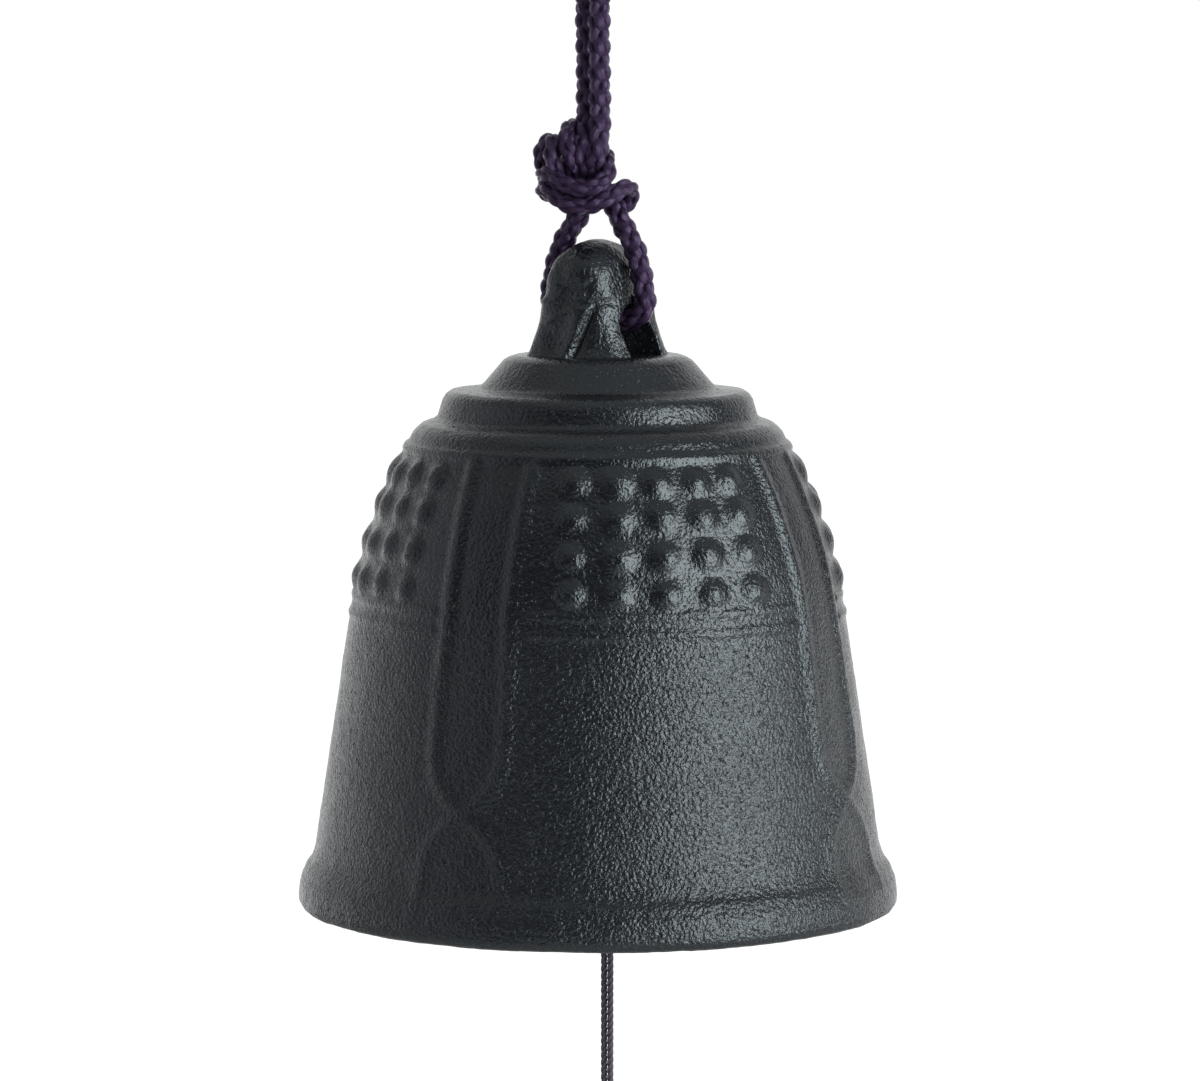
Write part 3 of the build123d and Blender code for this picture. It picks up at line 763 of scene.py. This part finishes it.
def make_staple():
    """The bent iron wire that is cast into the crown."""
    bpy.ops.curve.primitive_bezier_curve_add(radius=1)
    staple = bpy.context.object
    staple.name = "staple_bend"
    centre_z, reach = STAPLE_EYE + STAPLE_BEND_R, STAPLE_BEND_R
    route = [(CORD_X, CORD_Y + reach, STAPLE_TOP)]
    route += [
        (CORD_X, CORD_Y + reach * cos(t), centre_z + reach * sin(t))
        for t in np.linspace(0, -pi, ARC_POINTS)
    ]
    route += [(CORD_X, CORD_Y - reach, STAPLE_TOP)]
    curve = staple.data
    curve.splines.clear()
    spline = curve.splines.new("POLY")
    spline.points.add(len(route) - 1)
    for point, spot in zip(spline.points, placed(route)):
        point.co = (*spot, 1)
    curve.bevel_depth = STAPLE_WIRE_D / 2 * MM
    curve.bevel_resolution = 6
    curve.use_fill_caps = True
    bpy.ops.object.select_all(action="DESELECT")
    staple.select_set(True)
    bpy.ops.object.convert(target="MESH")
    tidied(staple)
    return staple


def thread_knot(name, height):
    """A tight overhand knot of the doubled thread, inside a ball."""
    turns = np.linspace(0, 2 * pi, TURNS_POINTS)
    turns[-1] = 0           # it ends where it starts
    reach = TURNS_R + TURNS_SWING * np.cos(3 * turns)
    strands = []
    for lift in (-TURNS_GAP, TURNS_GAP):
        knot = np.stack([
            CORD_X + reach * np.cos(2 * turns), CORD_Y + reach * np.sin(2 * turns),
            height + lift + TURNS_RISE * np.sin(3 * turns),
        ], axis=1)
        line = evenly(knot, ceil(distances(knot)[-1] / THREAD_STEP))
        strands += twisted_thread(placed(line))
    return tube_mesh(name, strands, PLY_SIDES)


def make_strip():
    """The plain paper strip, with one punched hole and a little warp."""
    bpy.ops.mesh.primitive_grid_add(x_subdivisions=round(STRIP_W), y_subdivisions=round(STRIP_H))
    strip = bpy.context.object
    strip.name = "paper_strip"
    spots = rows_of(strip.data.vertices, "co")
    # The warp grows from the tied upper end to the free one
    x, up = spots[:, 0] * STRIP_W / 2, (spots[:, 1] + 1) / 2
    cup = STRIP_CUP * (x / (STRIP_W / 2)) ** 2 * soft_step(1 - up, 0, 0.5)
    y = (cup - STRIP_BOW * np.sin(pi * up)) * (1 - up) ** 0.5
    z = STRIP_TOP - STRIP_H + up * STRIP_H
    spots[:, 0], spots[:, 1], spots[:, 2] = CORD_X + x, CORD_Y + y, z
    strip.data.vertices.foreach_set("co", placed(spots).ravel())
    applied(strip, "SOLIDIFY", thickness=STRIP_T * MM, offset=0)
    bpy.ops.mesh.primitive_cylinder_add(
        vertices=48, radius=STRIP_HOLE_R * MM, depth=0.01,
        location=placed([(CORD_X, CORD_Y, STRIP_TOP - STRIP_HOLE_DROP)])[0],
        rotation=(pi / 2, 0, 0),
    )
    punch = bpy.context.object
    applied(strip, "BOOLEAN", operation="DIFFERENCE", object=punch, solver="EXACT")
    bpy.data.objects.remove(punch)
    edit(strip)
    bpy.ops.object.mode_set(mode="OBJECT")
    bpy.ops.object.shade_smooth_by_angle(angle=radians(40))
    return strip


def strip_thread():
    """The loop of thread that goes through the strip's hole."""
    hole_z = STRIP_TOP - STRIP_HOLE_DROP
    low = hole_z + STRIP_HOLE_R - THREAD_D / 2
    side = [(0.3, STRIP_KNOT_Z - 0.9), (0.55, -34.3), (0.9, -35.8), (0.9, low + 0.9), (0.75, low)]
    route = [(CORD_X, CORD_Y + y, z) for y, z in side]
    route += [(CORD_X, CORD_Y - y, z) for y, z in reversed(side)]
    line = smooth_line("strip_loop_route", route, THREAD_STEP)
    return tube_mesh("thread_through_strip", twisted_thread(line), PLY_SIDES)


# Materials: a noise's scale is its features to a metre
SAND_SCALE, LUMP_SCALE, PIT_SCALE, PATCH_SCALE = 2600, 1900, 2300, 120
PIT_DEPTH, PIT_MATT = 0.6, 0.5        # how deep a pit is, and how much rougher
SATIN = (0.19, 0.26)                  # roughness of the lacquer, from patch to patch
# Features along a millimetre of a strand and round it, since its UV map runs so
BRAID_HAIRS, THREAD_HAIRS = (0.35, 42, 1), (0.6, 24, 1)
FIBRE_SCALE = 900


def material(name, roughness, colour, ior=1.5):
    """A new material, its nodes and links, and its main shader."""
    skin = bpy.data.materials.new(name)
    skin.use_nodes = True
    nodes, links = skin.node_tree.nodes, skin.node_tree.links
    shader = nodes["Principled BSDF"]
    shader.inputs["Roughness"].default_value = roughness
    shader.inputs["Base Color"].default_value = (*colour, 1)
    shader.inputs["IOR"].default_value = ior
    return skin, nodes, links, shader


def coordinates(nodes, links, kind, stretch=(1, 1, 1)):
    """Object or UV coordinates, stretched."""
    source = nodes.new("ShaderNodeTexCoord")
    mapping = nodes.new("ShaderNodeMapping")
    mapping.inputs["Scale"].default_value = stretch
    links.new(source.outputs[kind], mapping.inputs["Vector"])
    return mapping.outputs["Vector"]


def noise_field(nodes, links, vector, scale, detail=2.0, roughness=0.5):
    """Soft noise about 0.5, with scale features to a unit of the vector."""
    field = nodes.new("ShaderNodeTexNoise")
    field.inputs["Scale"].default_value = scale
    field.inputs["Detail"].default_value = detail
    field.inputs["Roughness"].default_value = roughness
    links.new(vector, field.inputs["Vector"])
    return field.outputs["Fac"]


def ranged(nodes, links, value, low, high, to_low, to_high):
    """A value mapped from one range to another."""
    node = nodes.new("ShaderNodeMapRange")
    numbers = {"From Min": low, "From Max": high, "To Min": to_low, "To Max": to_high}
    for name, number in numbers.items():
        node.inputs[name].default_value = number
    links.new(value, node.inputs["Value"])
    return node.outputs["Result"]


def maths(nodes, links, operation, first, second):
    """One sum on two values, each a number or another node's output."""
    node = nodes.new("ShaderNodeMath")
    node.operation = operation
    for socket, value in zip(node.inputs, (first, second)):
        if isinstance(value, (int, float)):
            socket.default_value = value
        else:
            links.new(value, socket)
    return node.outputs[0]


def bumped(nodes, links, shader, height, depth):
    """A height field as bumps in the shader's normal, depth millimetres to each unit of height."""
    bump = nodes.new("ShaderNodeBump")
    bump.inputs["Distance"].default_value = depth * MM
    links.new(height, bump.inputs["Height"])
    links.new(bump.outputs["Normal"], shader.inputs["Normal"])


def coloured(nodes, links, shader, value, dark, pale):
    """The base colour from dark to pale as a value goes from 0 to 1."""
    mix = nodes.new("ShaderNodeMix")
    mix.data_type = "RGBA"
    mix.inputs["A"].default_value = (*dark, 1)
    mix.inputs["B"].default_value = (*pale, 1)
    links.new(value, mix.inputs["Factor"])
    links.new(mix.outputs["Result"], shader.inputs["Base Color"])


def cells(nodes, links, vector, scale):
    """Distance from the nearest of scattered points, 0 at a point."""
    field = nodes.new("ShaderNodeTexVoronoi")
    field.inputs["Scale"].default_value = scale
    links.new(vector, field.inputs["Vector"])
    return field.outputs["Distance"]


def black_iron(name, grain, upper_share=1.0):
    """Sand-cast iron under a thin black lacquer, whose grain is finer above the wall's middle."""
    skin, nodes, links, shader = material(name, 0.3, (0.012, 0.0135, 0.017), 1.8)
    shader.inputs["Specular Tint"].default_value = (0.89, 1.0, 1.03, 1)
    vector = coordinates(nodes, links, "Object")
    sand = noise_field(nodes, links, vector, SAND_SCALE, 2, 0.55)
    lumps = ranged(nodes, links, cells(nodes, links, vector, LUMP_SCALE), 0, 0.8, 0.35, 0)
    hollows = noise_field(nodes, links, vector, PIT_SCALE, 1)
    pits = ranged(nodes, links, hollows, 0.24, 0.34, 1, 0)
    dug = maths(nodes, links, "MULTIPLY", pits, PIT_DEPTH)
    height = maths(nodes, links, "SUBTRACT", maths(nodes, links, "ADD", sand, lumps), dug)
    if upper_share < 1:
        place = nodes.new("ShaderNodeSeparateXYZ")
        links.new(vector, place.inputs["Vector"])
        low, high = (HANG + GRAIN_FADE[0]) * MM, (HANG + GRAIN_FADE[1]) * MM
        share = ranged(nodes, links, place.outputs["Z"], low, high, 1, upper_share)
        height = maths(nodes, links, "MULTIPLY", height, share)
    bumped(nodes, links, shader, height, grain)
    patches = noise_field(nodes, links, vector, PATCH_SCALE, 3)
    satin = ranged(nodes, links, patches, 0.3, 0.7, *SATIN)
    matt = maths(nodes, links, "MULTIPLY", pits, PIT_MATT)
    links.new(maths(nodes, links, "ADD", satin, matt), shader.inputs["Roughness"])
    coloured(nodes, links, shader, patches, (0.0095, 0.011, 0.0145), (0.0145, 0.016, 0.020))
    return skin


def braided_filament():
    """Dark purple rayon filament, glossy along its run."""
    skin, nodes, links, shader = material("purple_filament", 0.22, (0.05, 0.03, 0.08))
    shader.inputs["Metallic"].default_value = 0.45
    shader.inputs["Specular IOR Level"].default_value = 0.5
    vector = coordinates(nodes, links, "UV", BRAID_HAIRS)
    hairs = noise_field(nodes, links, vector, 1.0, 2)
    bumped(nodes, links, shader, hairs, 0.12)
    coloured(nodes, links, shader, hairs, (0.007, 0.0035, 0.013), (0.145, 0.085, 0.21))
    return skin


def grey_thread():
    """Grey-purple twisted thread."""
    skin, nodes, links, shader = material("grey_thread", 0.6, (0.10, 0.08, 0.11))
    vector = coordinates(nodes, links, "UV", THREAD_HAIRS)
    hairs = noise_field(nodes, links, vector, 1.0, 2)
    bumped(nodes, links, shader, hairs, 0.05)
    coloured(nodes, links, shader, hairs, (0.05, 0.040, 0.055), (0.24, 0.20, 0.25))
    return skin


def plain_paper():
    """Uncoated strip paper with a faint fibre."""
    skin, nodes, links, shader = material("plain_paper", 0.85, (0.82, 0.79, 0.72))
    vector = coordinates(nodes, links, "Object")
    fibre = noise_field(nodes, links, vector, FIBRE_SCALE, 4, 0.7)
    bumped(nodes, links, shader, fibre, 0.03)
    coloured(nodes, links, shader, fibre, (0.78, 0.75, 0.68), (0.85, 0.82, 0.76))
    return skin


# Surroundings
FLOOR_SIZE, FLOOR_Z = 8, -0.33      # metres
FLOOR_GLOW = 0.96
BEHIND = (0.3, 1.0)     # how far behind the bell, as a dot product, a reflection goes from 0 to 1
WORLD_GREY = 0.155      # light from all round on what isn't a mirror
# What is mirrored from above: (lower height, upper height, light at each), of a unit direction
OVERHEAD = (0.4, 0.9, 0.02, 0.3)
# (name, azimuth, elevation, metres away, (width, height), watts, colour)
LIGHTS = [
    ("key_light", 86, 8, 1.2, (1.0, 1.2), 15.0, (0.97, 1.0, 1.01)),
    ("left_fill", -62, 8, 1.3, (1.6, 1.4), 2.2, (1.0, 0.98, 1.06)),
]


def seen_by(nodes, links, place):
    """1 to the camera and through glass, and in a reflection from 0 in front to 1 behind."""
    path = nodes.new("ShaderNodeLightPath")
    facing = nodes.new("ShaderNodeVectorMath")
    facing.operation = "DOT_PRODUCT"
    facing.inputs[1].default_value = toward(CAMERA_TURN + 180)
    links.new(place, facing.inputs[0])
    share = ranged(nodes, links, facing.outputs["Value"], *BEHIND, 0, 1)
    mirrored = maths(nodes, links, "MULTIPLY", path.outputs["Is Glossy Ray"], share)
    straight = maths(
        nodes, links, "MAXIMUM", path.outputs["Is Camera Ray"], path.outputs["Is Transmission Ray"]
    )
    return maths(nodes, links, "MAXIMUM", straight, mirrored)


def make_floor():
    """A white floor under the strip, which keeps the object's shadow."""
    bpy.ops.mesh.primitive_plane_add(size=FLOOR_SIZE, location=(0, 0, FLOOR_Z))
    floor = bpy.context.object
    floor.name = "studio_floor"
    skin, nodes, links, shader = material("white_floor", 0.9, (0.85, 0.85, 0.85))
    place = nodes.new("ShaderNodeNewGeometry").outputs["Position"]
    glow = nodes.new("ShaderNodeEmission")
    seen = seen_by(nodes, links, place)
    links.new(maths(nodes, links, "MULTIPLY", seen, FLOOR_GLOW), glow.inputs["Strength"])
    both = nodes.new("ShaderNodeAddShader")
    links.new(shader.outputs[0], both.inputs[0])
    links.new(glow.outputs[0], both.inputs[1])
    # Clear from underneath, so that the bell can be looked at from below
    one_way = nodes.new("ShaderNodeMixShader")
    links.new(nodes.new("ShaderNodeNewGeometry").outputs["Backfacing"], one_way.inputs[0])
    links.new(both.outputs[0], one_way.inputs[1])
    links.new(nodes.new("ShaderNodeBsdfTransparent").outputs[0], one_way.inputs[2])
    links.new(one_way.outputs[0], nodes["Material Output"].inputs["Surface"])
    floor.data.materials.append(skin)


def make_world():
    """White behind the object for what is seen and mirrored, and a dim grey as light."""
    world = bpy.data.worlds.new("studio")
    bpy.context.scene.world = world
    world.use_nodes = True
    nodes, links = world.node_tree.nodes, world.node_tree.links
    place = nodes.new("ShaderNodeTexCoord").outputs["Generated"]
    seen = seen_by(nodes, links, place)
    path = nodes.new("ShaderNodeLightPath")
    dim = ranged(nodes, links, path.outputs["Is Glossy Ray"], 0, 1, WORLD_GREY, 0)
    rise = nodes.new("ShaderNodeSeparateXYZ")
    links.new(place, rise.inputs["Vector"])
    overhead = ranged(nodes, links, rise.outputs["Z"], *OVERHEAD)
    mirrored = maths(nodes, links, "MULTIPLY", path.outputs["Is Glossy Ray"], overhead)
    value = maths(nodes, links, "MAXIMUM", seen, maths(nodes, links, "MAXIMUM", dim, mirrored))
    links.new(value, nodes["Background"].inputs["Color"])


def make_lights():
    """One large soft light to the right of the camera, and a weak one to its left."""
    bell_foot = Vector((0, 0, HANG * MM))
    for name, turn, rise, reach, size, power, tint in LIGHTS:
        spot = toward(turn, rise) * reach + bell_foot
        bpy.ops.object.light_add(type="AREA", location=spot)
        lamp = bpy.context.object
        lamp.name = name
        lamp.data.shape = "RECTANGLE"
        lamp.data.size, lamp.data.size_y = size
        lamp.data.energy = power
        lamp.data.color = tint
        lamp.rotation_euler = (spot - bell_foot).to_track_quat("Z", "Y").to_euler()


def dress(piece, body, skin, slot, *nodes):
    """A piece's body, material and the CAD nodes that it stands for; its slot is not used."""
    piece.data.materials.append(skin)
    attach(piece, body)
    if nodes:
        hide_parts(*nodes)


place_camera()
wall, handle = make_bell(), make_handle()
iron, rough_iron = black_iron("satin_iron", 0.13), black_iron("sand_cast_iron", 0.21, 0.55)
dress(wall, "bell", rough_iron, "black_iron", "bell_casting")
dress(handle, "bell", iron, "black_iron", "bell_casting")
dress(make_staple(), "bell", iron, "staple_wire", "clapper_staple")
dress(make_clapper(), "clapper", iron, "clapper_iron", "clapper")
thread_skin = grey_thread()
stop_turns = thread_knot("stop_turns", STOP_KNOT_Z)
dress(stop_turns, "clapper_line", thread_skin, "thin_thread", "stop_knot")
strip_turns = thread_knot("strip_turns", STRIP_KNOT_Z)
dress(strip_turns, "strip", thread_skin, "thin_thread", "strip_knot")
loop_thread = strip_thread()
dress(loop_thread, "strip", thread_skin, "thin_thread", "strip_loop")
dress(make_strip(), "strip", plain_paper(), "strip_paper", "wind_strip")
cords = make_cords()
threads = make_threads()
filament = braided_filament()
for piece in cords:
    piece.data.materials.append(filament)
for piece in threads:
    piece.data.materials.append(thread_skin)
make_floor()
make_world()
make_lights()
bpy.context.scene.view_settings.view_transform = "Standard"
